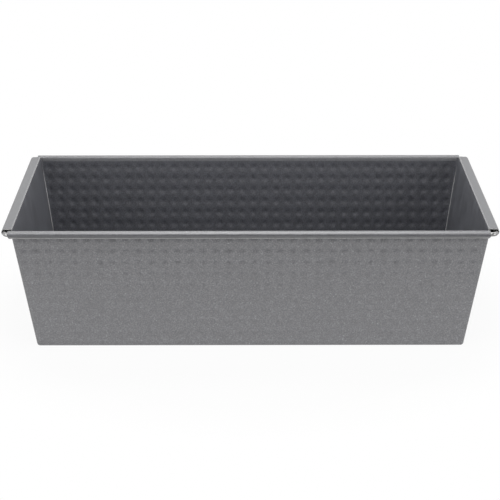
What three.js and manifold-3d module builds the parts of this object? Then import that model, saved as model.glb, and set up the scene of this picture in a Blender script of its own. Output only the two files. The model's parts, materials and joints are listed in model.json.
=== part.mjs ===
// Rectangular cake pan of coated sheet steel: an embossed body sheet, two plain end sheets and a rim wire.
// Millimetres, +Z up, X along the pan's length, origin on the ground under the middle of the base.
import * as THREE from 'three';
import { mergeVertices } from 'three/addons/utils/BufferGeometryUtils.js';
import Module from 'manifold-3d';

const wasm = await Module();
wasm.setup();

// Overall size, measured over the rim
const overallLength = 250;
const overallWidth = 138.5;
const overallHeight = 67;

// Outside of the base, where the planes of the walls meet the ground
const baseLength = 221;
const baseWidth = 111;

// Stock
const sheetThickness = 0.4;
const wireDiameter = 2.4;

// Fits
const rollClearance = 0.15; // between the wire and the sheet rolled over it
const lapClearance = 0.15; // between an end sheet and the flanges that lap it
const edgeClearance = 0.25; // between an end sheet's edges and the walls and base
const cornerClearance = 0.2; // between the bend of the wire and the ends of the rolls and hems

// Bends of the sheets, outside radius
const cornerBend = 0.9; // upright corners of the body sheet
const baseBend = 0.9; // between the base and the walls
const hemBend = 1.2; // inner edge of an end hem

// Rim
const rollWrap = THREE.MathUtils.degToRad(300); // turn of the long rolls round the wire
const rollRoot = THREE.MathUtils.degToRad(15); // part of the long rolls' turn that lies in the wall
const hemWrap = THREE.MathUtils.degToRad(215); // turn of the end hems round the wire
const endHemWidth = 5.5; // from the end sheet's inner face to the hem's outer edge
const wireBend = 2.4; // radius of the wire's corners, on its centre line
const wireEndGap = 1; // between the two ends of the wire

// Flanges of the body sheet that lap the end sheets
const flangeWidth = 6;
const flangeDrop = 5; // from the top of the rim to the top of the flanges

// Dimples pressed outwards in the long walls, on a square lattice
const dimplePitch = 6.5;
const dimpleHeight = 0.5;
const dimpleFirstRow = 4.8; // from the roll's centre down the wall to the first row
const dimpleRollMargin = 2.2; // from the roll's centre down the wall to the start of the pressing
const dimpleFootMargin = 0.3; // from the bend of the base up to the end of the pressing
const dimpleLastRow = 2.2; // least distance from the last row to the foot of the wall
const dimpleEndMargin = 0.6; // between the pressing and the end sheets

// Facets
const cornerSteps = 4;
const arcStep = THREE.MathUtils.degToRad(25);
const wireSides = 10;
const tuck = 0.02; // how far joined forms stand off each other's faces, so that no two faces coincide
const overcut = 5; // how far a cutting form reaches past what it cuts
const mergeDistance = 1e-5; // points nearer than this are one point

// Derived sizes
const rollRadius = wireDiameter / 2 + rollClearance + sheetThickness;
const rollBore = rollRadius - sheetThickness;
const rimHeight = overallHeight - rollRadius; // height of the wire's centre line
const wireHalfLength = overallLength / 2 - rollRadius;
const wireHalfWidth = overallWidth / 2 - rollRadius;
const rollHalfLength = wireHalfLength - wireBend - cornerClearance;
const hemHalfLength = wireHalfWidth - wireBend - cornerClearance;
const flangeTop = overallHeight - flangeDrop;

// Lean of the long walls: the outer face runs from the foot to a tangent on the roll's bore
const longRun = Math.hypot(wireHalfWidth - baseWidth / 2, rimHeight);
const longLean = Math.atan2(wireHalfWidth - baseWidth / 2, rimHeight) - Math.asin(rollBore / longRun);

// Lean of the ends: flange, lap and end sheet together reach the hem's inner edge at the top
const endStack = 2 * sheetThickness + lapClearance;
const endReach = overallLength / 2 - endHemWidth - baseLength / 2;
const endRun = Math.hypot(endReach, overallHeight);
const endLean = Math.atan2(endReach, overallHeight) + Math.asin(endStack / endRun);

// Half width and half length of the faces at a height
const wallOuter = (z) => baseWidth / 2 + z * Math.tan(longLean);
const wallInner = (z) => wallOuter(z) - sheetThickness / Math.cos(longLean);
const flangeOuter = (z) => baseLength / 2 + z * Math.tan(endLean);
const flangeInner = (z) => flangeOuter(z) - sheetThickness / Math.cos(endLean);
const endOuter = (z) => flangeInner(z) - lapClearance / Math.cos(endLean);
const endInner = (z) => endOuter(z) - sheetThickness / Math.cos(endLean);

// A closed geometry as a solid, and back
function solidOf(geometry) {
  geometry.deleteAttribute('normal');
  geometry.deleteAttribute('uv');
  const merged = mergeVertices(geometry, mergeDistance);
  const mesh = new wasm.Mesh({
    numProp: 3,
    vertProperties: new Float32Array(merged.attributes.position.array),
    triVerts: new Uint32Array(merged.index.array),
  });
  return new wasm.Manifold(mesh);
}

function geometryOf(solid) {
  const mesh = solid.getMesh();
  const geometry = new THREE.BufferGeometry();
  geometry.setAttribute('position', new THREE.BufferAttribute(mesh.vertProperties, 3));
  geometry.setIndex(new THREE.BufferAttribute(mesh.triVerts, 1));
  geometry.computeVertexNormals();
  return geometry;
}

function bufferOf(points, faces) {
  const geometry = new THREE.BufferGeometry().setFromPoints(points);
  geometry.setIndex(faces.flat());
  return geometry;
}

// Outlines drawn across the pan, in Y and Z, and drawn along it, in X and Z
const acrossPan = new THREE.Matrix4().makeBasis(
  new THREE.Vector3(0, 1, 0),
  new THREE.Vector3(0, 0, 1),
  new THREE.Vector3(1, 0, 0),
);
const alongPan = new THREE.Matrix4().makeBasis(
  new THREE.Vector3(1, 0, 0),
  new THREE.Vector3(0, 0, 1),
  new THREE.Vector3(0, -1, 0),
);

function prism(outline, length, frame) {
  const options = { depth: length, bevelEnabled: false };
  const geometry = new THREE.ExtrudeGeometry(new THREE.Shape(outline), options);
  geometry.translate(0, 0, -length / 2);
  geometry.applyMatrix4(frame);
  return geometry;
}

// Points of an arc, both ends included
function arc(centre, radius, from, to) {
  const steps = Math.max(1, Math.round(Math.abs(to - from) / arcStep));
  const points = [];
  for (let step = 0; step <= steps; step += 1) {
    const angle = from + ((to - from) * step) / steps;
    points.push(new THREE.Vector2(
      centre.x + radius * Math.cos(angle),
      centre.y + radius * Math.sin(angle),
    ));
  }
  return points;
}

// How far the bend between base and wall draws the wall in, at a height above the face of the base
function bendInset(height, bend, lean) {
  if (height >= bend * (1 - Math.sin(lean))) return 0;
  const foot = bend * Math.tan(Math.PI / 4 - lean / 2);
  return height * Math.tan(lean) + foot - Math.sqrt(bend ** 2 - (bend - height) ** 2);
}

// A tub with leaning sides, round upright corners and a round foot, solid inside
function tub(halfLength, halfWidth, inset, top) {
  const bend = baseBend - inset;
  const levels = [];
  for (let step = 0; step <= cornerSteps; step += 1) {
    const angle = (step / cornerSteps) * (Math.PI / 2 - Math.min(longLean, endLean));
    levels.push(inset + bend * (1 - Math.cos(angle)));
  }
  levels.push(top);
  const points = [];
  levels.forEach((z) => {
    const x = halfLength(z) - bendInset(z - inset, bend, endLean);
    const y = halfWidth(z) - bendInset(z - inset, bend, longLean);
    const radius = cornerBend - inset;
    for (let corner = 0; corner < 4; corner += 1) {
      const cx = (corner === 0 || corner === 3 ? 1 : -1) * (x - radius);
      const cy = (corner < 2 ? 1 : -1) * (y - radius);
      for (let step = 0; step <= cornerSteps; step += 1) {
        const angle = (corner + step / cornerSteps) * (Math.PI / 2);
        points.push(new THREE.Vector3(cx + radius * Math.cos(angle), cy + radius * Math.sin(angle), z));
      }
    }
  });
  const ring = 4 * (cornerSteps + 1);
  const last = points.length - ring;
  const faces = [];
  for (let level = 0; level < levels.length - 1; level += 1) {
    for (let side = 0; side < ring; side += 1) {
      const a = level * ring + side;
      const b = level * ring + ((side + 1) % ring);
      faces.push([a, b, b + ring], [a, b + ring, a + ring]);
    }
  }
  for (let side = 1; side < ring - 1; side += 1) {
    faces.push([0, side + 1, side], [last, last + side, last + side + 1]);
  }
  return solidOf(bufferOf(points, faces));
}

// Rows of the pressing: lines between the rows, the rows' centres and the columns on each side of the middle
function dimpleLayout() {
  const foot = rimHeight / Math.cos(longLean);
  const end = foot - (baseBend * (1 - Math.sin(longLean))) / Math.cos(longLean) - dimpleFootMargin;
  const rows = Math.floor((foot - dimpleFirstRow - dimpleLastRow) / dimplePitch) + 1;
  const lines = [Math.max(dimpleFirstRow - dimplePitch / 2, dimpleRollMargin)];
  const centres = [];
  const columns = [];
  for (let row = 0; row < rows; row += 1) {
    centres.push(dimpleFirstRow + row * dimplePitch);
    lines.push(Math.min(centres[row] + dimplePitch / 2, end));
    const height = rimHeight - lines[row + 1] * Math.cos(longLean);
    columns.push(Math.floor((endInner(height) - dimpleEndMargin) / dimplePitch));
  }
  return { lines, centres, columns };
}

// The pressing of the back wall as one solid: a pyramid for each dimple on a thin slab.
// Levels are measured outwards from the wall's outer face.
function pressing(under, ground) {
  const { lines, centres, columns } = dimpleLayout();
  const origin = new THREE.Vector3(0, wallOuter(rimHeight), rimHeight);
  const down = new THREE.Vector3(0, -Math.sin(longLean), -Math.cos(longLean));
  const out = new THREE.Vector3(0, Math.cos(longLean), -Math.sin(longLean));
  const points = [];
  const faces = [];
  const known = new Map();
  const place = (along, drop, level) => {
    const key = `${along},${drop},${level}`;
    if (!known.has(key)) {
      known.set(key, points.length);
      const point = origin.clone().addScaledVector(down, drop).addScaledVector(out, level);
      point.x = along * dimplePitch;
      points.push(point);
    }
    return known.get(key);
  };
  const edges = new Map();
  centres.forEach((centre, row) => {
    for (let column = -columns[row]; column < columns[row]; column += 1) {
      const corners = [
        [column, lines[row]],
        [column, lines[row + 1]],
        [column + 1, lines[row + 1]],
        [column + 1, lines[row]],
      ];
      const apex = place(column + 0.5, centre, ground + dimpleHeight);
      const upper = corners.map(([along, drop]) => place(along, drop, ground));
      const lower = corners.map(([along, drop]) => place(along, drop, under));
      faces.push([lower[0], lower[1], lower[2]], [lower[0], lower[2], lower[3]]);
      for (let side = 0; side < 4; side += 1) {
        const next = (side + 1) % 4;
        faces.push([apex, upper[next], upper[side]]);
        const back = `${upper[next]},${upper[side]}`;
        if (edges.has(back)) edges.delete(back);
        else edges.set(`${upper[side]},${upper[next]}`, [upper[side], upper[next], lower[next], lower[side]]);
      }
    }
  });
  edges.forEach(([a, b, c, d]) => faces.push([a, b, c], [a, c, d]));
  return bufferOf(points, faces);
}

// The roll of the back wall over the wire; its root lies in the top of the wall
function longRoll() {
  const centre = new THREE.Vector2(wireHalfWidth, rimHeight);
  const from = Math.PI - longLean;
  const outline = [
    ...arc(centre, rollRadius, from + rollRoot, from - rollWrap),
    ...arc(centre, rollBore, from - rollWrap, from + rollRoot),
  ];
  return prism(outline, 2 * rollHalfLength, acrossPan);
}

const halfTurn = new THREE.Matrix4().makeRotationZ(Math.PI);

// Base, long walls and flanges from one sheet, with the rolls and the dimples
function bodySheet() {
  const wallTop = rimHeight + rollBore * Math.sin(longLean);
  const windowFoot = sheetThickness + flangeWidth;
  const windowTop = wallTop + overcut;
  const endWindow = [
    new THREE.Vector2(-(wallInner(windowFoot) - flangeWidth), windowFoot),
    new THREE.Vector2(wallInner(windowFoot) - flangeWidth, windowFoot),
    new THREE.Vector2(wallInner(windowTop) - flangeWidth, windowTop),
    new THREE.Vector2(-(wallInner(windowTop) - flangeWidth), windowTop),
  ];
  let sheet = tub(flangeOuter, wallOuter, 0, wallTop);
  sheet = sheet.subtract(tub(flangeInner, wallInner, sheetThickness, wallTop + overcut));
  sheet = sheet.subtract(solidOf(prism(endWindow, overallLength, acrossPan)));
  const wallEnd = flangeOuter(flangeTop) - cornerBend;
  [1, -1].forEach((side) => {
    const corner = new THREE.BoxGeometry(2 * overcut, overallWidth, 2 * overcut);
    corner.translate(side * (wallEnd + overcut), 0, flangeTop + overcut);
    sheet = sheet.subtract(solidOf(corner));
  });
  [new THREE.Matrix4(), halfTurn].forEach((side) => {
    const bumps = pressing(-sheetThickness / 2, tuck).applyMatrix4(side);
    const hollows = pressing(-2 * sheetThickness, tuck - sheetThickness).applyMatrix4(side);
    sheet = sheet.add(solidOf(longRoll().applyMatrix4(side)));
    sheet = sheet.add(solidOf(bumps)).subtract(solidOf(hollows));
  });
  return geometryOf(sheet);
}

// Plain end sheet of the right end, with its hem turned outwards over the wire
function endSheet() {
  const foot = sheetThickness + edgeClearance;
  const wire = new THREE.Vector2(wireHalfLength, rimHeight);
  const bendHeight = overallHeight - hemBend;
  const bend = new THREE.Vector2(endInner(bendHeight) + hemBend / Math.cos(endLean), bendHeight);
  const hemInside = hemBend - sheetThickness;
  const upright = Math.PI - endLean;
  const top = Math.PI / 2;
  const section = [
    new THREE.Vector2(endInner(foot), foot),
    ...arc(bend, hemBend, upright, top),
    ...arc(wire, rollRadius, top, top - hemWrap),
    ...arc(wire, rollBore, top - hemWrap, top),
    ...arc(bend, hemInside, top, upright),
    new THREE.Vector2(endOuter(foot), foot),
  ];
  const squareFrom = (hemHalfLength + edgeClearance - wallInner(0)) / Math.tan(longLean);
  const halfFoot = wallInner(foot) - edgeClearance;
  const width = [
    new THREE.Vector2(-halfFoot, foot),
    new THREE.Vector2(halfFoot, foot),
    new THREE.Vector2(hemHalfLength, squareFrom),
    new THREE.Vector2(hemHalfLength, overallHeight + overcut),
    new THREE.Vector2(-hemHalfLength, overallHeight + overcut),
    new THREE.Vector2(-hemHalfLength, squareFrom),
  ];
  const strip = solidOf(prism(section, overallWidth, alongPan));
  return geometryOf(strip.intersect(solidOf(prism(width, overallLength + overcut, acrossPan))));
}

// One wire bent round the rim, its ends meeting in the middle of the back roll
function rimWire() {
  const stations = [];
  const add = (x, y, angle) => stations.push({ x, y, angle });
  add(-wireEndGap / 2, wireHalfWidth, Math.PI / 2);
  for (let corner = 1; corner <= 4; corner += 1) {
    const cx = (corner === 1 || corner === 2 ? -1 : 1) * (wireHalfLength - wireBend);
    const cy = (corner === 1 || corner === 4 ? 1 : -1) * (wireHalfWidth - wireBend);
    for (let step = 0; step <= cornerSteps; step += 1) {
      const angle = (corner + step / cornerSteps) * (Math.PI / 2);
      add(cx + wireBend * Math.cos(angle), cy + wireBend * Math.sin(angle), angle);
    }
  }
  add(wireEndGap / 2, wireHalfWidth, Math.PI / 2);
  const points = [];
  stations.forEach(({ x, y, angle }) => {
    for (let side = 0; side < wireSides; side += 1) {
      const turn = (side / wireSides) * 2 * Math.PI;
      const reach = (wireDiameter / 2) * Math.cos(turn);
      const rise = (wireDiameter / 2) * Math.sin(turn);
      points.push(new THREE.Vector3(
        x + reach * Math.cos(angle),
        y + reach * Math.sin(angle),
        rimHeight + rise,
      ));
    }
  });
  const faces = [];
  for (let station = 0; station < stations.length - 1; station += 1) {
    for (let side = 0; side < wireSides; side += 1) {
      const a = station * wireSides + side;
      const b = station * wireSides + ((side + 1) % wireSides);
      faces.push([a, b + wireSides, b], [a, a + wireSides, b + wireSides]);
    }
  }
  const last = points.length - wireSides;
  for (let side = 1; side < wireSides - 1; side += 1) {
    faces.push([0, side, side + 1], [last, last + side + 1, last + side]);
  }
  return geometryOf(solidOf(bufferOf(points, faces)));
}

const coating = new THREE.MeshStandardMaterial({ color: '#757679', roughness: 0.5, metalness: 0.3 });
const steel = new THREE.MeshStandardMaterial({ color: '#c9c9c6', roughness: 0.3, metalness: 1 });

const pan = new THREE.Group();

function addPart(name, geometry, material) {
  const part = new THREE.Mesh(geometry, material);
  part.name = name;
  pan.add(part);
  return part;
}

addPart('body_sheet', bodySheet(), coating.clone());
addPart('right_end_sheet', endSheet(), coating.clone());
addPart('left_end_sheet', endSheet(), coating.clone()).rotation.z = Math.PI;
addPart('rim_wire', rimWire(), steel);

export default pan;
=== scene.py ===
import json
import math

import bmesh
import bpy
from mathutils import Matrix, Vector

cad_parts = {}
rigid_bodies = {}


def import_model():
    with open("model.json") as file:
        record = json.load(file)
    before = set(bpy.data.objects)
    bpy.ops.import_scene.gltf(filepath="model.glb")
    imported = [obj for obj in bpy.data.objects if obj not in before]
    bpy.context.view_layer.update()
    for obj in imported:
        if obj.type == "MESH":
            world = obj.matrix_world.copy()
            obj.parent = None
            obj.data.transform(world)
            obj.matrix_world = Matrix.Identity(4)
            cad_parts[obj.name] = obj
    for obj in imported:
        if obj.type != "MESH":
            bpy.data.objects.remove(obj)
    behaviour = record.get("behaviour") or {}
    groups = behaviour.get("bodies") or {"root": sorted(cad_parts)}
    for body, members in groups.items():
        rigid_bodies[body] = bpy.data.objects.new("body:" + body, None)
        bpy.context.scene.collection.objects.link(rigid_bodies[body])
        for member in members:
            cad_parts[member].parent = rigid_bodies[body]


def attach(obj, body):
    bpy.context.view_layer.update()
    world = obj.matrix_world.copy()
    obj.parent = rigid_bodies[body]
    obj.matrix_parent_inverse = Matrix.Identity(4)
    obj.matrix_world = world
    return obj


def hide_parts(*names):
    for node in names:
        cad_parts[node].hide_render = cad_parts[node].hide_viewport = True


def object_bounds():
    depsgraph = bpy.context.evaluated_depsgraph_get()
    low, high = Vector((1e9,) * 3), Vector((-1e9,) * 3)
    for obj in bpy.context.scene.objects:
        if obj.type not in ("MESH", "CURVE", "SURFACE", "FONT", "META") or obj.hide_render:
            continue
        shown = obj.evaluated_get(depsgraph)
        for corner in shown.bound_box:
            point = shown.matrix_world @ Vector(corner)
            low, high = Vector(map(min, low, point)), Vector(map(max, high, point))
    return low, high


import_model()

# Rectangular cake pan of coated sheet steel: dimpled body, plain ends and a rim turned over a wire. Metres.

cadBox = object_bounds()
mm = 0.001

# what the sheets and the wire share
pan = {
    "thickness": 0.4 * mm,
    "rollRadius": 1.75 * mm,  # outside of the rolls and hems over the wire
    "wireBend": 2.4 * mm,  # corners of the wire, on its centre line
    "cornerGap": 0.2 * mm,  # from the wire's bends to the ends of the rolls and hems
    "baseLength": 221 * mm,  # where the planes of the walls meet the ground
    "baseWidth": 111 * mm,
    "hemWidth": 5.5 * mm,  # inner face of an end to the outer edge of its hem
    "lap": 0.15 * mm,  # between an end sheet and the flanges behind it
}
thickness = pan["thickness"]
rollRadius = pan["rollRadius"]

# the rim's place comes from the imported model
rimTop = cadBox[1].z
wireX = cadBox[1].x - rollRadius
wireY = cadBox[1].y - rollRadius
wireZ = rimTop - rollRadius
rollHalf = wireX - pan["wireBend"] - pan["cornerGap"]
hemHalf = wireY - pan["wireBend"] - pan["cornerGap"]

# lean of the long walls and of the ends, from the upright
longReach = wireY - pan["baseWidth"] / 2
longLean = math.atan2(longReach, wireZ) - math.asin((rollRadius - thickness) / math.hypot(longReach, wireZ))
endReach = cadBox[1].x - pan["hemWidth"] - pan["baseLength"] / 2
endStack = 2 * thickness + pan["lap"]
endLean = math.atan2(endReach, rimTop) + math.asin(endStack / math.hypot(endReach, rimTop))


def wallInner(z):
    return pan["baseWidth"] / 2 + z * math.tan(longLean) - thickness / math.cos(longLean)


def flangeInner(z):
    return pan["baseLength"] / 2 + z * math.tan(endLean) - thickness / math.cos(endLean)


def endInner(z):
    return flangeInner(z) - (pan["lap"] + thickness) / math.cos(endLean)


def turns(start, end, step):
    count = max(1, round(abs(end - start) / step))
    return [start + (end - start) * i / count for i in range(count + 1)]


print("sizes: long walls lean %.2f deg, ends %.2f deg" % (math.degrees(longLean), math.degrees(endLean)))


# Helpers for nodes

def mathNode(nodes, link, operation, first, second):
    # of two values, each a socket or a plain number
    node = nodes.new("ShaderNodeMath")
    node.operation = operation
    for socket, value in zip(node.inputs, (first, second)):
        if isinstance(value, bpy.types.NodeSocket):
            link(value, socket)
        else:
            socket.default_value = value
    return node.outputs[0]


def rangeNode(nodes, link, value, fromRange, toRange):
    node = nodes.new("ShaderNodeMapRange")
    labels = ("From Min", "From Max", "To Min", "To Max")
    for label, number in zip(labels, (*fromRange, *toRange)):
        node.inputs[label].default_value = number
    link(value, node.inputs["Value"])
    return node


# Finishes

coatGrain = {
    "mottleDetail": 3.0,
    "mottleRoughness": 0.65,
    "pimpleDetail": 2.0,
    "mottleInRelief": 0.35,  # the rest of the relief is pimples
}


def sprayedGrain():
    # soft mottle and fine pimples of a sprayed and baked coating
    group = bpy.data.node_groups.new("sprayed grain", "ShaderNodeTree")
    nodes, link = group.nodes, group.links.new
    for label, kind in (("Vector", "Vector"), ("Mottle Scale", "Float"), ("Pimple Scale", "Float"),
                        ("Mottle Share", "Float")):
        group.interface.new_socket(name=label, in_out="INPUT", socket_type="NodeSocket" + kind)
    for label in ("Mottle", "Height"):
        group.interface.new_socket(name=label, in_out="OUTPUT", socket_type="NodeSocketFloat")
    start = nodes.new("NodeGroupInput")
    end = nodes.new("NodeGroupOutput")
    mottle = nodes.new("ShaderNodeTexNoise")
    mottle.inputs["Detail"].default_value = coatGrain["mottleDetail"]
    mottle.inputs["Roughness"].default_value = coatGrain["mottleRoughness"]
    pimples = nodes.new("ShaderNodeTexNoise")
    pimples.inputs["Detail"].default_value = coatGrain["pimpleDetail"]
    for node, scale in ((mottle, "Mottle Scale"), (pimples, "Pimple Scale")):
        link(start.outputs["Vector"], node.inputs["Vector"])
        link(start.outputs[scale], node.inputs["Scale"])
    tone = nodes.new("ShaderNodeMix")
    link(start.outputs["Mottle Share"], tone.inputs["Factor"])
    height = nodes.new("ShaderNodeMix")
    height.inputs["Factor"].default_value = coatGrain["mottleInRelief"]
    for mix, result in ((tone, "Mottle"), (height, "Height")):
        link(pimples.outputs["Fac"], mix.inputs["A"])
        link(mottle.outputs["Fac"], mix.inputs["B"])
        link(mix.outputs["Result"], end.inputs[result])
    return group


grainGroup = sprayedGrain()


def newMaterial(name):
    material = bpy.data.materials.new(name)
    material.use_nodes = True
    nodes = material.node_tree.nodes
    return material, nodes, material.node_tree.links.new, nodes["Principled BSDF"]


def layFinish(nodes, link, shader, finish, pattern, relief):
    # colour and gloss follow the pattern, bumps the relief
    tone = nodes.new("ShaderNodeValToRGB")
    for stop, place, color in zip(tone.color_ramp.elements, finish["ramp"], ("dark", "light")):
        stop.position = place
        stop.color = (*finish[color], 1)
    link(pattern, tone.inputs["Fac"])
    link(tone.outputs["Color"], shader.inputs["Base Color"])
    gloss = rangeNode(nodes, link, pattern, finish["glossRange"], finish["roughness"])
    link(gloss.outputs["Result"], shader.inputs["Roughness"])
    bump = nodes.new("ShaderNodeBump")
    bump.inputs["Strength"].default_value = finish["bump"]
    bump.inputs["Distance"].default_value = finish["bumpDepth"]
    link(relief, bump.inputs["Height"])
    link(bump.outputs["Normal"], shader.inputs["Normal"])


def coatingMaterial(name, finish):
    material, nodes, link, shader = newMaterial(name)
    place = nodes.new("ShaderNodeTexCoord")
    stretch = nodes.new("ShaderNodeMapping")
    stretch.inputs["Scale"].default_value = finish["stretch"]
    link(place.outputs["Object"], stretch.inputs["Vector"])
    grain = nodes.new("ShaderNodeGroup")
    grain.node_tree = grainGroup
    grain.inputs["Mottle Scale"].default_value = finish["mottleScale"]
    grain.inputs["Pimple Scale"].default_value = finish["pimpleScale"]
    grain.inputs["Mottle Share"].default_value = finish["mottleShare"]
    link(stretch.outputs["Vector"], grain.inputs["Vector"])
    layFinish(nodes, link, shader, finish, grain.outputs["Mottle"], grain.outputs["Height"])
    shader.inputs["IOR"].default_value = finish["ior"]
    return material


insideFinish = {
    "dark": (0.027, 0.028, 0.033),
    "light": (0.069, 0.071, 0.085),
    "ramp": (0.33, 0.67),  # noise values that give the dark and the light tone
    "mottleScale": 300.0,
    "pimpleScale": 1500.0,
    "mottleShare": 0.2,  # the rest of the pattern is pimples
    "stretch": (1.0, 1.0, 1.0),
    "roughness": (0.48, 0.58),
    "glossRange": (0.3, 0.7),  # noise values that give the two roughnesses
    "bump": 0.25,
    "bumpDepth": 0.05 * mm,
    "ior": 1.55,
}
rimFinish = {
    **insideFinish,
    "dark": (0.029, 0.03, 0.034),
    "light": (0.073, 0.074, 0.086),
    "roughness": (0.32, 0.42),  # burnished where it is turned over the wire
    "ior": 2.05,
}
endFinish = {
    **insideFinish,
    "dark": (0.071, 0.073, 0.083),
    "light": (0.13, 0.134, 0.152),
    "ramp": (0.36, 0.64),
    "mottleScale": 170.0,
    "mottleShare": 0.85,
    "stretch": (1.0, 1.0, 0.4),  # drawn out up the sheet
    "roughness": (0.38, 0.48),
    "ior": 2.0,
}
outsideFinish = {
    **insideFinish,
    "dark": (0.131, 0.131, 0.137),
    "light": (0.24, 0.24, 0.252),
    "ramp": (0.43, 0.78),
    "mottleScale": 330.0,
    "roughness": (0.2, 0.28),
    "bump": 0.08,
    "ior": 1.7,
}
insideCoating = coatingMaterial("inside coating", insideFinish)
rimCoating = coatingMaterial("rim coating", rimFinish)
endCoating = coatingMaterial("end coating", endFinish)
outsideCoating = coatingMaterial("outside coating", outsideFinish)


def metalMaterial(name, finish):
    material, nodes, link, shader = newMaterial(name)
    place = nodes.new("ShaderNodeTexCoord")
    marks = nodes.new("ShaderNodeTexNoise")
    marks.inputs["Scale"].default_value = finish["scale"]
    marks.inputs["Detail"].default_value = finish["detail"]
    link(place.outputs["Object"], marks.inputs["Vector"])
    layFinish(nodes, link, shader, finish, marks.outputs["Fac"], marks.outputs["Fac"])
    shader.inputs["Metallic"].default_value = finish["metallic"]
    return material


drawnSteel = {
    "dark": (0.2, 0.2, 0.2),
    "light": (0.4, 0.4, 0.4),
    "ramp": (0.32, 0.68),
    "scale": 900.0,
    "detail": 4.0,
    "roughness": (0.16, 0.34),
    "glossRange": (0.0, 1.0),
    "bump": 0.15,
    "bumpDepth": 0.02 * mm,
    "metallic": 1.0,
}
# pale steel of the sheared cut edges; the same finish paints a light line along the foot of each roll and a
# painted highlight on the end sheets' lips
cutEdgeAndLineSteel = {
    **drawnSteel,
    "dark": (0.3, 0.3, 0.3),
    "light": (0.46, 0.46, 0.46),
    "scale": 1500.0,
    "roughness": (0.35, 0.55),
    "metallic": 0.3,  # some of the coating is left on it
}
wireSteel = metalMaterial("wire steel", drawnSteel)
cutEdgeAndPaleLines = metalMaterial("bare cut edge and pale lines", cutEdgeAndLineSteel)
print("finishes: inside, rim, end and outside coatings, wire steel, bare cut edge and pale lines")


# Helpers for meshes and node trees

weldDistance = 0.002 * mm
outlineTolerance = 0.005 * mm  # points nearer to the outline of a wall are on it
rowTolerance = 0.01 * mm  # the same for the upper row of the lattice
creaseAngle = math.radians(42)  # sharper edges stay sharp

# slots of a drawn face; its back takes the next slot, and its cut edge the one after
# the third slot paints a highlight in the paler outside coating; the last paints pale lines in the cut-edge
# finish
plainFace, burnishedFace, paintedHighlightFace, paleLineFace = 0, 3, 4, 5


def weld(bm):
    bmesh.ops.remove_doubles(bm, verts=bm.verts, dist=weldDistance)


def strip(bm, rows, closed=False, materialIndex=plainFace):
    # quads between rows of points of one length
    made = [[bm.verts.new(p) for p in row] for row in rows]
    for low, high in zip(made, made[1:]):
        last = len(low) if closed else len(low) - 1
        for i in range(last):
            j = (i + 1) % len(low)
            face = bm.faces.new((low[i], low[j], high[j], high[i]))
            face.material_index = materialIndex
    return made


def meshFrom(bm, name):
    mesh = bpy.data.meshes.new(name)
    bm.to_mesh(mesh)
    bm.free()
    return mesh


def newObject(name, mesh):
    piece = bpy.data.objects.new(name, mesh)
    bpy.context.scene.collection.objects.link(piece)
    return piece


def evaluated(piece):
    # the piece with its modifiers made plain mesh
    depsgraph = bpy.context.evaluated_depsgraph_get()
    mesh = bpy.data.meshes.new_from_object(piece.evaluated_get(depsgraph))
    piece.modifiers.clear()
    piece.data = mesh
    return mesh


def smoothFaces(mesh):
    mesh.polygons.foreach_set("use_smooth", [True] * len(mesh.polygons))
    mesh.set_sharp_from_angle(angle=creaseAngle)


def thicken(piece, coating):
    # the drawn face looks into the pan, and the sheet lies behind it
    for material in (coating, outsideCoating, cutEdgeAndPaleLines, rimCoating, outsideCoating, cutEdgeAndPaleLines):
        piece.data.materials.append(material)
    shell = piece.modifiers.new("sheet", "SOLIDIFY")
    shell.thickness = thickness
    shell.offset = -1
    shell.use_quality_normals = True
    shell.material_offset = 1
    shell.material_offset_rim = 2
    smoothFaces(evaluated(piece))


def faceInwards(bm, inwards):
    # all faces of one open sheet the same way round, the largest of them looking into the pan
    bmesh.ops.recalc_face_normals(bm, faces=bm.faces)
    largest = max(bm.faces, key=lambda f: f.calc_area())
    if largest.normal.dot(inwards) < 0:
        bmesh.ops.reverse_faces(bm, faces=bm.faces)


def newTree(name, inputs):
    tree = bpy.data.node_groups.new(name, "GeometryNodeTree")
    tree.is_modifier = True
    sockets = {}
    for label, kind in inputs:
        socket = tree.interface.new_socket(name=label, in_out="INPUT", socket_type="NodeSocket" + kind)
        sockets[label] = socket.identifier
    tree.interface.new_socket(name="Geometry", in_out="OUTPUT", socket_type="NodeSocketGeometry")
    return tree, sockets, tree.nodes.new("NodeGroupInput"), tree.nodes.new("NodeGroupOutput")


def runTree(piece, tree, sockets, values):
    nodes = piece.modifiers.new(tree.name, "NODES")
    nodes.node_group = tree
    for label, value in values.items():
        nodes[sockets[label]] = value
    return evaluated(piece)


# Dimples: one square cell with a round hollow, set out on a lattice

dimples = {
    "pitch": 6.5 * mm,
    "radius": 2.7 * mm,
    "depth": 0.5 * mm,
    "rings": (0.38, 0.7, 1.0),  # parts of the radius
    "sides": 12,  # or 20 or 28, so that they meet the corners of the cell
    "rows": 10,
    "columns": 38,
    "firstRow": 4.8 * mm,  # below the middle of the roll, along the wall
    "offMiddle": -1.0 * mm,  # along the pan
    "fade": 1.3 * mm,  # the hollows run out over this distance from the bends
}


def dimpleCell():
    bm = bmesh.new()
    half = dimples["pitch"] / 2
    angles = [2 * math.pi * (i + 0.5) / dimples["sides"] for i in range(dimples["sides"])]
    rows = []
    for part in dimples["rings"]:
        sink = dimples["depth"] * (1 - part ** 2) ** 2
        r = part * dimples["radius"]
        rows.append([Vector((r * math.cos(a), r * math.sin(a), sink)) for a in angles])
    square = []
    for a in angles:
        reach = half / max(abs(math.cos(a)), abs(math.sin(a)))
        square.append(Vector((reach * math.cos(a), reach * math.sin(a), 0)))
    made = strip(bm, rows + [square], closed=True)
    middle = bm.verts.new((0, 0, dimples["depth"]))
    ring = made[0]
    for i in range(len(ring)):
        bm.faces.new((middle, ring[i], ring[(i + 1) % len(ring)]))
    return newObject("dimple_cell", meshFrom(bm, "dimple cell"))


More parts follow.
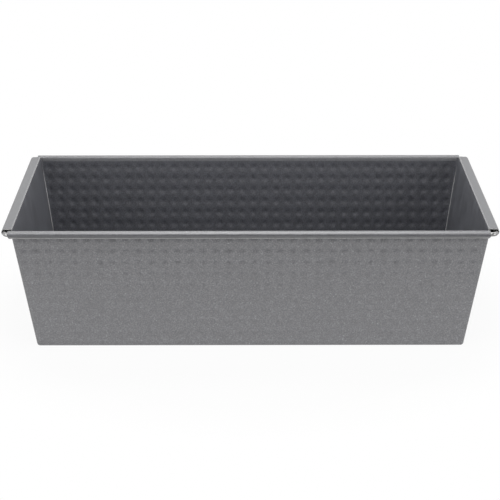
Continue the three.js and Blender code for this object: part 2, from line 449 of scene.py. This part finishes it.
def latticeTree():
    tree, sockets, start, end = newTree("dimple lattice", (
        ("Cell", "Object"), ("Columns", "Int"), ("Rows", "Int"), ("Pitch", "Float"), ("Finish", "Material")))
    nodes, link = tree.nodes, tree.links.new
    grid = nodes.new("GeometryNodeMeshGrid")
    for count, axis in (("Columns", "X"), ("Rows", "Y")):
        steps = mathNode(nodes, link, "SUBTRACT", start.outputs[count], 1)
        span = mathNode(nodes, link, "MULTIPLY", steps, start.outputs["Pitch"])
        link(start.outputs[count], grid.inputs["Vertices " + axis])
        link(span, grid.inputs["Size " + axis])
    cell = nodes.new("GeometryNodeObjectInfo")
    link(start.outputs["Cell"], cell.inputs["Object"])
    spread = nodes.new("GeometryNodeInstanceOnPoints")
    link(grid.outputs["Mesh"], spread.inputs["Points"])
    link(cell.outputs["Geometry"], spread.inputs["Instance"])
    real = nodes.new("GeometryNodeRealizeInstances")
    link(spread.outputs["Instances"], real.inputs["Geometry"])
    joined = nodes.new("GeometryNodeMergeByDistance")
    joined.inputs["Distance"].default_value = weldDistance
    link(real.outputs["Geometry"], joined.inputs["Geometry"])
    finish = nodes.new("GeometryNodeSetMaterial")
    link(joined.outputs["Geometry"], finish.inputs["Geometry"])
    link(start.outputs["Finish"], finish.inputs["Material"])
    link(finish.outputs["Geometry"], end.inputs["Geometry"])
    return tree, sockets


def dimpleLattice():
    cell = dimpleCell()
    tree, sockets = latticeTree()
    piece = newObject("dimple_lattice", bpy.data.meshes.new("dimple lattice"))
    mesh = runTree(piece, tree, sockets, {
        "Cell": cell,
        "Columns": dimples["columns"],
        "Rows": dimples["rows"],
        "Pitch": dimples["pitch"],
        "Finish": insideCoating,
    })
    bpy.data.objects.remove(piece)
    bpy.data.objects.remove(cell)
    return mesh


# Body: base and long walls of one sheet, its long edges rolled over the wire and its ends flanged

body = {
    "cornerBend": 1.2 * mm,  # inside of the upright corners
    "baseBend": 1.1 * mm,  # inside of the bend round the base
    "bendSteps": 6,
    "flangeWidth": 6 * mm,
    "flangeTop": 66 * mm,  # no flange reaches above this height
    "burnishedFrom": 0.25,  # part of the plain strip over the dimples that stays dull
    "rollShift": -0.6 * mm,  # the rolls sit a little off the middle
    "rollStep": math.radians(11),
    "rollFlat": 0.2 * mm,  # flattening of the roll, up and outwards
    "rollFlatMiddle": math.radians(127),  # from the wall, over the top
    "rollFlatReach": math.radians(50),
    "tailBend": 0.5 * mm,  # the roll's edge turns down and lies against the wall
    "tailGap": 0.1 * mm,
    "tailLength": 0.7 * mm,
    "baseInset": 1.2 * mm,  # a row of faces round the flat of the base
}


def bendLevels():
    # heights of the bend round the base, with how far each lies inside the walls' planes
    bend = body["baseBend"]
    lean = min(longLean, endLean)
    levels = []
    for i in range(body["bendSteps"] + 1):
        rise = bend * (1 - math.cos(i / body["bendSteps"] * (math.pi / 2 - lean)))
        insets = []
        for wall in (longLean, endLean):
            foot = bend * math.tan(math.pi / 4 - wall / 2)
            inset = rise * math.tan(wall) + foot - math.sqrt(bend ** 2 - (bend - rise) ** 2)
            insets.append(0 if i == body["bendSteps"] else inset)
        levels.append((thickness + rise, *insets))
    return levels


levels = bendLevels()
wallFoot = levels[-1][0]
wallCos, wallSin = math.cos(longLean), math.sin(longLean)


def cornerAt(z):
    # centre line of an upright corner
    return Vector((flangeInner(z) - body["cornerBend"], wallInner(z) - body["cornerBend"], z))


def onWall(u, v, w):
    # u along the pan, v up the back wall from the ground, w out of the pan
    return Vector((u, wallInner(0) + v * wallSin + w * wallCos, v * wallCos - w * wallSin))


def wallMesh():
    # the lattice cut to the wall's outline, its hollows run out towards the bends
    bm = bmesh.new()
    bm.from_mesh(dimpleLattice())
    top = (wireZ + rollRadius * wallSin) / wallCos
    foot = wallFoot / wallCos
    middleRow = wireZ / wallCos - dimples["firstRow"] - dimples["pitch"] * (dimples["rows"] - 1) / 2
    bmesh.ops.translate(bm, verts=bm.verts, vec=(dimples["offMiddle"], middleRow, 0))
    upper = max(v.co.y for v in bm.verts)
    border = upper + body["burnishedFrom"] * (top - upper)
    along = sorted(v.co.x for v in bm.verts if v.co.y > upper - rowTolerance)
    strip(bm, [[Vector((x, y, 0)) for x in along] for y in (upper, border, top)])
    sideFoot = cornerAt(0).x
    sideSlope = math.tan(endLean) * wallCos
    cuts = [((0, foot, 0), (0, -1, 0))]
    for side in (1, -1):
        cuts.append(((side * sideFoot, 0, 0), (side, -sideSlope, 0)))
    for point, normal in cuts:
        geometry = bm.verts[:] + bm.edges[:] + bm.faces[:]
        bmesh.ops.bisect_plane(bm, geom=geometry, plane_co=point, plane_no=Vector(normal).normalized(),
                               clear_outer=True, dist=weldDistance)
    weld(bm)
    for v in bm.verts:
        side = (sideFoot + sideSlope * v.co.y - abs(v.co.x)) / math.hypot(1, sideSlope)
        reach = min(max(min(side, v.co.y - foot, top - v.co.y) / dimples["fade"], 0), 1)
        v.co.z *= reach * reach * (3 - 2 * reach)
    for f in bm.faces:
        f.material_index = burnishedFace if f.calc_center_median().y > border else plainFace
    edgeOf = {"top": [], "foot": [], 1: [], -1: []}
    for v in bm.verts:
        side = sideFoot + sideSlope * v.co.y - abs(v.co.x)
        if abs(v.co.y - top) < outlineTolerance:
            edgeOf["top"].append(v.co.x)
        if abs(v.co.y - foot) < outlineTolerance:
            edgeOf["foot"].append(v.co.x)
        if side < outlineTolerance:
            edgeOf[1 if v.co.x > 0 else -1].append(v.co.y * wallCos)
    for v in bm.verts:
        v.co = onWall(*v.co)
    return meshFrom(bm, "wall"), {name: sorted(values) for name, values in edgeOf.items()}


def rollProfile():
    # from the top of the back wall over the wire and back, then down against the wall's outer face
    centre = Vector((0, wireY, wireZ))
    out = Vector((0, wallCos, -wallSin))
    down = Vector((0, -wallSin, -wallCos))
    bore = rollRadius - thickness
    tailBend = body["tailBend"]
    inset = bore - (thickness + body["tailGap"] + tailBend)
    drop = math.sqrt((rollRadius + tailBend) ** 2 - inset ** 2)
    over = math.asin(inset / (rollRadius + tailBend))
    points = []
    for a in turns(0, 1.5 * math.pi + over, body["rollStep"]):
        part = min(abs(a - body["rollFlatMiddle"]) / body["rollFlatReach"], 1)
        r = rollRadius - body["rollFlat"] * math.cos(part * math.pi / 2) ** 2
        points.append(centre - r * (math.cos(a) * out + math.sin(a) * down))
    tail = centre - inset * out + drop * down
    for a in turns(math.pi / 2 + over, 0, 2 * body["rollStep"])[1:]:
        points.append(tail - tailBend * (math.cos(a) * out + math.sin(a) * down))
    points.append(points[-1] + body["tailLength"] * down)
    return points


def baseRing(level, footEdge):
    # one turn round the pan at a level of the base bend, corner arcs included
    z, wallInset, endInset = level
    centre = cornerAt(z)
    reachX = flangeInner(z) - endInset - centre.x
    reachY = wallInner(z) - wallInset - centre.y
    arc = turns(math.pi / 2, 0, math.pi / 2 / body["bendSteps"])[1:]
    bend = [(-centre.x - reachX * math.cos(a), centre.y + reachY * math.sin(a)) for a in arc]
    stop = centre.y - body["flangeWidth"]
    ring = []
    for side in (1, -1):
        along = [side * x * centre.x / footEdge[-1] for x in (reversed(footEdge) if side > 0 else footEdge)]
        half = [(x, centre.y + reachY) for x in along] + bend
        half += [(-centre.x - reachX, y) for y in (stop, -stop)]
        half += [(x, -y) for x, y in reversed(bend)]
        ring += [Vector((side * x, side * y, z)) for x, y in half]
    return ring


def endFrame(sideEdge, end):
    # upright corners and flanges of one end; the rows below the window reach right across
    arc = turns(math.pi / 2, 0, math.pi / 2 / body["bendSteps"])
    window = min(z for z in sideEdge if z > thickness + body["flangeWidth"])
    heights = [z for z in sideEdge if z <= body["flangeTop"]]
    bend = body["cornerBend"]
    sides = []
    for side in (1, -1):
        rows = []
        for z in heights:
            centre = cornerAt(z)
            row = [(centre.x + bend * math.cos(a), centre.y + bend * math.sin(a)) for a in arc]
            row.append((flangeInner(z), centre.y - body["flangeWidth"]))
            rows.append([Vector((end * x, side * y, z)) for x, y in row])
        sides.append(rows)
    low = [[row[-1], other[-1]] for row, other in zip(*sides) if row[0].z <= window]
    return sides + [low]


def bodySheet():
    wall, edgeOf = wallMesh()
    print("body: %d faces in a dimpled wall" % len(wall.polygons))
    bm = bmesh.new()
    bm.from_mesh(wall)
    wall.transform(Matrix.Diagonal((1, -1, 1, 1)))
    bm.from_mesh(wall)
    bpy.data.meshes.remove(wall)
    along = [body["rollShift"] - rollHalf] + edgeOf["top"] + [body["rollShift"] + rollHalf]
    profile = rollProfile()
    for side in (1, -1):
        rows = [[Vector((x, side * p.y, p.z)) for x in along] for p in profile]
        strip(bm, rows[:-1], materialIndex=burnishedFace)
        # the tail's last strip in the pale cut-edge finish: a light line along the foot of the roll
        strip(bm, rows[-2:], materialIndex=paleLineFace)
        for rows in endFrame(edgeOf[side], side):
            strip(bm, rows)
    rings = [baseRing(level, edgeOf["foot"]) for level in levels]
    strip(bm, rings, closed=True)
    shrink = Vector((1 - body["baseInset"] / flangeInner(0), 1 - body["baseInset"] / wallInner(0), 1))
    made = strip(bm, [[p * shrink for p in rings[0]], rings[0]], closed=True)
    bm.faces.new(made[0])
    weld(bm)
    bmesh.ops.dissolve_degenerate(bm, edges=bm.edges, dist=weldDistance)
    faceInwards(bm, Vector((0, 0, 1)))
    piece = newObject("dimpled_body", meshFrom(bm, "body"))
    thicken(piece, insideCoating)
    return piece


# Ends: plain sheets with a flat-topped hem over the wire

ends = {
    "foot": 0.65 * mm,  # height of the lower edge
    "hemBend": 0.7 * mm,  # inner edge of the hem
    "hemWrap": math.radians(180),
    "hemReturn": 3.0 * mm,  # under the hem, back towards the end
    "arcStep": math.radians(11),
    "lipBend": 0.3 * mm,  # the upright edges turn in along the long walls
    "lipTurn": math.radians(80),
    "lipSteps": 4,
    "lipTop": 62.0 * mm,
    "lipFade": 9 * mm,  # the lips run out over this height
    "wallGap": 0.08 * mm,
    "cutBack": 0.7 * mm,  # ends of the hems, from the gap at the wire's bends
    "wallRows": 12,
    "columns": 24,
}


def hemProfile():
    bend = ends["hemBend"]
    bendZ = rimTop - bend
    bendX = endInner(bendZ) + bend / math.cos(endLean)
    inner, hem = [], []
    for a in turns(math.pi - endLean, math.pi / 2, ends["arcStep"]):
        inner.append(Vector((bendX + bend * math.cos(a), 0, bendZ + bend * math.sin(a))))
    for a in turns(math.pi / 2, math.pi / 2 - ends["hemWrap"], ends["arcStep"]):
        hem.append(Vector((wireX + rollRadius * math.cos(a), 0, wireZ + rollRadius * math.sin(a))))
    hem.append(hem[-1] - Vector((ends["hemReturn"], 0, 0)))
    return inner, hem


def endSheet(name, side):
    # drawn at the right end, then turned round for the left one
    bm = bmesh.new()
    parts = [2 * i / ends["columns"] - 1 for i in range(ends["columns"] + 1)]
    lip = ends["lipBend"]
    walls, lips = [], {1: [], -1: []}
    for i in range(ends["wallRows"] + 1):
        z = ends["foot"] + (ends["lipTop"] - ends["foot"]) * i / ends["wallRows"]
        x = endInner(z)
        flat = wallInner(z) - ends["wallGap"] - thickness - lip
        walls.append([Vector((x, part * flat, z)) for part in parts])
        turn = ends["lipTurn"] * min(1, (ends["lipTop"] - z) / ends["lipFade"])
        for edge in (1, -1):
            row = []
            for step in range(ends["lipSteps"] + 1):
                a = step / ends["lipSteps"] * turn
                row.append(Vector((x - lip * (1 - math.cos(a)), edge * (flat + lip * math.sin(a)), z)))
            lips[edge].append(row)
    width = hemHalf - ends["cutBack"]
    inner, hem = ([[Vector((p.x, part * width, p.z)) for part in parts] for p in run] for run in hemProfile())
    strip(bm, walls + inner[:1])
    strip(bm, inner, materialIndex=paintedHighlightFace)  # the sharp inner bend in the paler outside coating: a painted highlight along the hem's inner edge
    strip(bm, inner[-1:] + hem, materialIndex=burnishedFace)
    # the lips in the pale cut-edge finish: a painted highlight up each inner corner beside the long walls
    for rows in lips.values():
        strip(bm, rows, materialIndex=paleLineFace)
    weld(bm)
    faceInwards(bm, Vector((-1, 0, 0)))
    if side < 0:
        bmesh.ops.rotate(bm, verts=bm.verts, matrix=Matrix.Rotation(math.pi, 3, "Z"))
    piece = newObject(name, meshFrom(bm, name))
    thicken(piece, endCoating)
    return piece


# Wire: one round bar bent round the rim, its ends meeting in the back roll

wire = {
    "radius": 1.1 * mm,
    "drop": 0.2 * mm,  # it lies low in the rolls and hems
    "sides": 20,
    "cornerSteps": 10,
    "endGap": 1 * mm,
}


def wireTree():
    tree, sockets, start, end = newTree("bent wire", (
        ("Path", "Geometry"), ("Radius", "Float"), ("Sides", "Int"), ("Finish", "Material")))
    nodes, link = tree.nodes, tree.links.new
    path = nodes.new("GeometryNodeMeshToCurve")
    link(start.outputs["Path"], path.inputs["Mesh"])
    section = nodes.new("GeometryNodeCurvePrimitiveCircle")
    link(start.outputs["Sides"], section.inputs["Resolution"])
    link(start.outputs["Radius"], section.inputs["Radius"])
    bar = nodes.new("GeometryNodeCurveToMesh")
    bar.inputs["Fill Caps"].default_value = True
    link(path.outputs["Curve"], bar.inputs["Curve"])
    link(section.outputs["Curve"], bar.inputs["Profile Curve"])
    real = nodes.new("GeometryNodeRealizeInstances")
    link(bar.outputs["Mesh"], real.inputs["Geometry"])
    finish = nodes.new("GeometryNodeSetMaterial")
    link(real.outputs["Geometry"], finish.inputs["Geometry"])
    link(start.outputs["Finish"], finish.inputs["Material"])
    link(finish.outputs["Geometry"], end.inputs["Geometry"])
    return tree, sockets


def rimWire():
    bend = pan["wireBend"]
    z = wireZ - wire["drop"]
    points = [Vector((-wire["endGap"] / 2, wireY, z))]
    for corner, (sx, sy) in enumerate(((-1, 1), (-1, -1), (1, -1), (1, 1)), start=1):
        centre = Vector((sx * (wireX - bend), sy * (wireY - bend), z))
        for i in range(wire["cornerSteps"] + 1):
            a = (corner + i / wire["cornerSteps"]) * math.pi / 2
            points.append(centre + bend * Vector((math.cos(a), math.sin(a), 0)))
    points.append(Vector((wire["endGap"] / 2, wireY, z)))
    mesh = bpy.data.meshes.new("wire path")
    mesh.from_pydata(points, [(i, i + 1) for i in range(len(points) - 1)], [])
    piece = newObject("bent_rim_wire", mesh)
    tree, sockets = wireTree()
    smoothFaces(runTree(piece, tree, sockets, {
        "Radius": wire["radius"],
        "Sides": wire["sides"],
        "Finish": wireSteel,
    }))
    return piece


made = {
    "body_sheet": (bodySheet(), "coated_sheet"),
    "left_end_sheet": (endSheet("left_end", -1), "coated_sheet"),
    "right_end_sheet": (endSheet("right_end", 1), "coated_sheet"),
    "rim_wire": (rimWire(), "rim_wire"),
}
for node, (piece, slot) in made.items():
    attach(piece, "root")
    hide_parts(node)
    print("piece: %s for %s, %d polygons" % (piece.name, node, len(piece.data.polygons)))


# Stage: white floor, soft light from all round and above, and the camera

stage = {
    "floorHalf": 4.0,  # to the sides and behind
    "floorFront": 0.17,  # the table ends here, and a dim room begins
    "floorColor": (0.65, 0.65, 0.65),
    "floorRoughness": 0.9,
    "floorGlow": 0.94,  # part of the floor that stays white to the camera, near the pan
    "glowReach": (0.13, 0.17),  # from the pan's middle; beyond it the floor is all white
    "skyLight": 0.1,
    "roomLight": 0.2,  # in reflections, the room in front of the white backdrop
    "backdropRange": (-0.7, 0.3),  # Y of the direction where the room ends and where all is white
    "lampAim": (0, 0, 0.03),
}
lamps = {
    "left key": {"place": (-1.1, -0.65, 0.5), "size": (0.8, 0.6), "power": 3.2},
    "right key": {"place": (1.1, -0.65, 0.5), "size": (0.8, 0.6), "power": 4.7},
    "left panel": {"place": (-1.0, -0.95, 0.15), "size": (0.5, 0.2), "power": 3.2},
    "right panel": {"place": (1.0, -0.95, 0.15), "size": (0.5, 0.2), "power": 2.6},
    "overhead softbox": {"place": (0, -0.35, 1.2), "size": (0.6, 0.5), "power": 5.3},
    "front softbox": {"place": (0, -0.7, 1.0), "size": (0.6, 0.3), "power": 2.4},
    "back softbox": {"place": (0, 0.5, 1.1), "size": (1.6, 0.35), "power": 6.5},
    "back panel": {"place": (0, 1.5, 0.6), "size": (1.6, 0.3), "power": 0.9},
    "front panel": {"place": (0, -1.3, 0.5), "size": (2.4, 0.35), "power": 4.8},
}
view = {
    "place": (-3.2 * mm, -884.7 * mm, 344.5 * mm),
    "tilt": math.radians(19.386),
    "turn": math.radians(0.207),  # to the right
    "focalPixels": 1727.6,
    "imagePixels": 500,
    "sensor": 36.0,
}


def whiteToCamera(nodes, link, reflected=1):
    # 1 for rays from the camera and through glass, and the brightness given for reflections
    path = nodes.new("ShaderNodeLightPath")
    mirror = mathNode(nodes, link, "MULTIPLY", path.outputs["Is Glossy Ray"], reflected)
    seen = mathNode(nodes, link, "MAXIMUM", path.outputs["Is Camera Ray"], mirror)
    return mathNode(nodes, link, "MAXIMUM", seen, path.outputs["Is Transmission Ray"])


def floorMaterial():
    material, nodes, link, shader = newMaterial("pale floor")
    shader.inputs["Base Color"].default_value = (*stage["floorColor"], 1)
    shader.inputs["Roughness"].default_value = stage["floorRoughness"]
    shader.inputs["Specular IOR Level"].default_value = 0
    glow = nodes.new("ShaderNodeEmission")
    place = nodes.new("ShaderNodeTexCoord")
    away = nodes.new("ShaderNodeVectorMath")
    away.operation = "LENGTH"
    link(place.outputs["Object"], away.inputs[0])
    whiten = rangeNode(nodes, link, away.outputs["Value"], stage["glowReach"], (stage["floorGlow"], 1))
    share = mathNode(nodes, link, "MULTIPLY", whiteToCamera(nodes, link), whiten.outputs["Result"])
    blend = nodes.new("ShaderNodeMixShader")
    link(share, blend.inputs["Fac"])
    link(shader.outputs["BSDF"], blend.inputs[1])
    link(glow.outputs["Emission"], blend.inputs[2])
    link(blend.outputs["Shader"], nodes["Material Output"].inputs["Surface"])
    return material


def makeFloor():
    half, front = stage["floorHalf"], stage["floorFront"]
    corners = [(-half, -front, 0), (half, -front, 0), (half, half, 0), (-half, half, 0)]
    mesh = bpy.data.meshes.new("floor")
    mesh.from_pydata(corners, [], [(0, 1, 2, 3)])
    floor = newObject("floor", mesh)
    floor.data.materials.append(floorMaterial())


def makeWorld():
    world = bpy.data.worlds.new("studio")
    world.use_nodes = True
    nodes, link = world.node_tree.nodes, world.node_tree.links.new
    facing = nodes.new("ShaderNodeTexCoord")
    parts = nodes.new("ShaderNodeSeparateXYZ")
    link(facing.outputs["Generated"], parts.inputs["Vector"])
    backdrop = rangeNode(nodes, link, parts.outputs["Y"], stage["backdropRange"], (stage["roomLight"], 1))
    backdrop.interpolation_type = "SMOOTHSTEP"
    white = whiteToCamera(nodes, link, backdrop.outputs["Result"])
    strength = mathNode(nodes, link, "MAXIMUM", white, stage["skyLight"])
    nodes["Background"].inputs["Color"].default_value = (1, 1, 1, 1)
    link(strength, nodes["Background"].inputs["Strength"])
    bpy.context.scene.world = world


def makeLamps():
    for name, lamp in lamps.items():
        light = bpy.data.lights.new(name, "AREA")
        light.shape = "RECTANGLE"
        light.size, light.size_y = lamp["size"]
        light.energy = lamp["power"]
        holder = newObject(name, light)
        holder.location = lamp["place"]
        aim = Vector(stage["lampAim"]) - Vector(lamp["place"])
        holder.rotation_euler = aim.to_track_quat("-Z", "Y").to_euler()


def makeCamera():
    lens = bpy.data.cameras.new("camera")
    lens.sensor_width = view["sensor"]
    lens.lens = view["focalPixels"] / view["imagePixels"] * view["sensor"]
    camera = newObject("camera", lens)
    camera.location = view["place"]
    camera.rotation_euler = (math.pi / 2 - view["tilt"], 0, -view["turn"])
    bpy.context.scene.camera = camera


makeFloor()
makeWorld()
makeLamps()
makeCamera()
bpy.context.scene.view_settings.view_transform = "Standard"
print("stage: floor, %d lamps and camera" % len(lamps))
